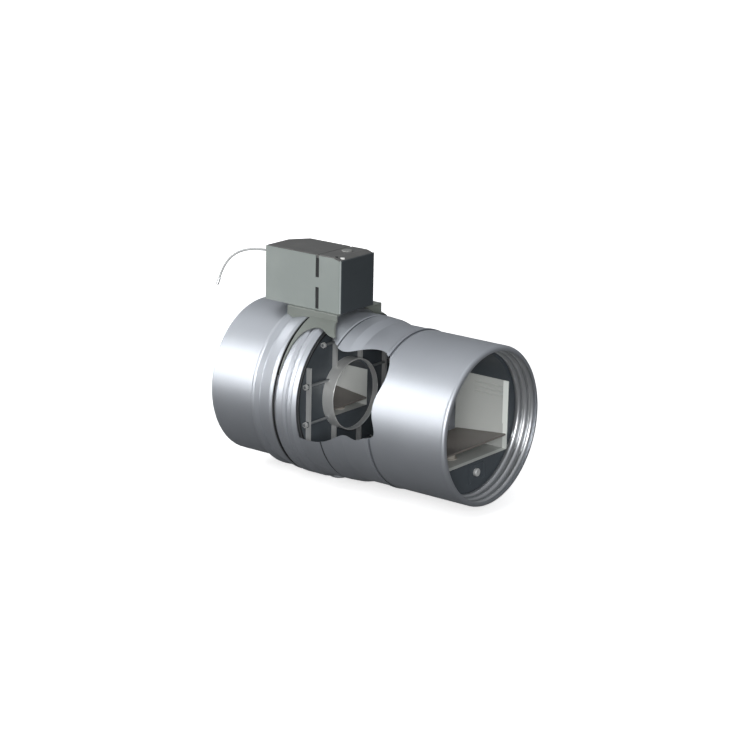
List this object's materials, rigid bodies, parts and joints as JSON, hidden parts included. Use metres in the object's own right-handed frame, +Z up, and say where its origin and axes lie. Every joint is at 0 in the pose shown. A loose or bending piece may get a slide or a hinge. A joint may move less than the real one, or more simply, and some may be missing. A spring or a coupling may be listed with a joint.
{
  "type": "motorized duct damper",
  "caption": "Round motorized duct damper shown cut open: turning blade with a small flow regulator, a larger regulator in the outlet, and a bridge-mounted actuator with its lead.",
  "frame": {"origin": "centre of the inlet spigot's open end", "axes": "+X along the duct from inlet to outlet, -Y towards the cut-open front, +Z up towards the actuator"},
  "size_m": [0.4163, 0.2156, 0.2926],
  "materials": {
    "casing_steel": "rolled galvanized sheet, satin",
    "bracket_sheet": "grey-green painted sheet, satin",
    "blade_charcoal": "charcoal coated sheet, matt",
    "lattice_steel": "light zinc plated bar, satin",
    "collar_steel": "bright turned steel",
    "channel_grey": "light grey coated sheet, satin",
    "flap_brown": "brown-grey coated sheet, satin",
    "ridge_steel": "pressed bright sheet",
    "housing_plastic": "grey-green moulded plastic, fine grain",
    "cover_plastic": "brown-grey moulded plastic, fine grain",
    "end_plastic": "charcoal moulded plastic",
    "button_plastic": "pale grey moulded plastic",
    "light_lens": "white diffusing lens",
    "rubber_black": "matt",
    "rubber_bulb": "pale silicone, satin",
    "nylon_white": "unfilled nylon",
    "shaft_steel": "drawn zinc plated bar",
    "gear_brass": "cut brass",
    "board_green": "lacquered board",
    "motor_can": "zinc plated can",
    "cord_grey": "light grey flexible sheath",
    "spring_steel": "wire"
  },
  "bodies": {
    "casing": {"inlet_shell": "casing_steel", "beaded_shell": "casing_steel", "outlet_shell": "casing_steel", "throat_ring": "casing_steel", "seam_gasket": "rubber_black", "upper_bush": "nylon_white", "lower_bush": "nylon_white", "lower_shaft_cap": "casing_steel", "large_channel": "channel_grey", "large_hood": "blade_charcoal", "large_front_plate": "blade_charcoal", "large_flap_pin": "shaft_steel", "large_flap_bulb": "rubber_bulb", "rate_scale": "blade_charcoal", "outlet_collar": "ridge_steel", "actuator_bridge": "bracket_sheet", "actuator_housing": "housing_plastic", "end_cap": "end_plastic", "split_strips": "rubber_black", "actuator_cover": "cover_plastic", "status_light": "light_lens", "service_plug": "rubber_black", "motor": "motor_can", "gear_axle": "shaft_steel", "circuit_board": "board_green", "board_posts": "nylon_white", "bridge_screws": "shaft_steel", "lead_grommet": "rubber_black", "cord": "cord_grey", "cord_ferrule": "lattice_steel", "button_spring": "spring_steel"},
    "blade": {"blade_disc": "blade_charcoal", "blade_seal": "rubber_black", "upright_bars": "lattice_steel", "cross_rods": "shaft_steel", "rod_nuts": "lattice_steel", "rod_lugs": "blade_charcoal", "small_collar": "collar_steel", "small_channel": "channel_grey", "small_hood": "blade_charcoal", "small_front_plate": "blade_charcoal", "small_flap_pin": "shaft_steel", "small_flap_bulb": "rubber_bulb", "upper_shaft": "shaft_steel", "lower_shaft": "shaft_steel", "upper_shaft_clip": "casing_steel", "lower_shaft_clip": "casing_steel", "output_gear": "nylon_white", "output_gear_clip": "spring_steel"},
    "small_flap": {"small_flap": "flap_brown"},
    "large_flap": {"large_flap": "flap_brown"},
    "rate_knob": {"rate_knob": "lattice_steel"},
    "release_button": {"release_button": "button_plastic", "button_clip": "spring_steel"},
    "compound_gear": {"compound_gear": "nylon_white"},
    "motor_rotor": {"motor_pinion": "gear_brass", "motor_shaft": "shaft_steel"}
  },
  "joints": [
    {"name": "blade_turn", "type": "hinge", "parent": "casing", "child": "blade", "pos_m": [0.1281, 0, 0], "axis": [0, 0, 1], "range_deg": [0, 90]},
    {"name": "small_flap_swing", "type": "hinge", "parent": "blade", "child": "small_flap", "pos_m": [0.0944, 0, -0.00995], "axis": [0, -1, 0], "range_deg": [0, 34]},
    {"name": "large_flap_swing", "type": "hinge", "parent": "casing", "child": "large_flap", "pos_m": [0.2553, 0, -0.04275], "axis": [0, -1, 0], "range_deg": [0, 50]},
    {"name": "rate_knob_turn", "type": "hinge", "parent": "casing", "child": "rate_knob", "pos_m": [0.3315, 0.01, -0.066], "axis": [1, 0, 0], "range_deg": [0, 270]},
    {"name": "button_press", "type": "slide", "parent": "casing", "child": "release_button", "axis": [0, 0, -1], "range_m": [0, 0.003], "stiffness_N_per_m": 400, "deforming": ["button_spring"]},
    {"name": "compound_spin", "type": "hinge", "parent": "casing", "child": "compound_gear", "pos_m": [0.1081, 0, 0.12], "axis": [0, 0, 1], "range_deg": [-270, 0]},
    {"name": "motor_spin", "type": "hinge", "parent": "casing", "child": "motor_rotor", "pos_m": [0.0841, 0, 0.131], "axis": [0, 0, 1], "range_deg": [0, 810]}
  ],
  "couplings": [
    {"joint": "compound_spin", "follows": "blade_turn", "ratio": -3},
    {"joint": "motor_spin", "follows": "blade_turn", "ratio": 9}
  ]
}
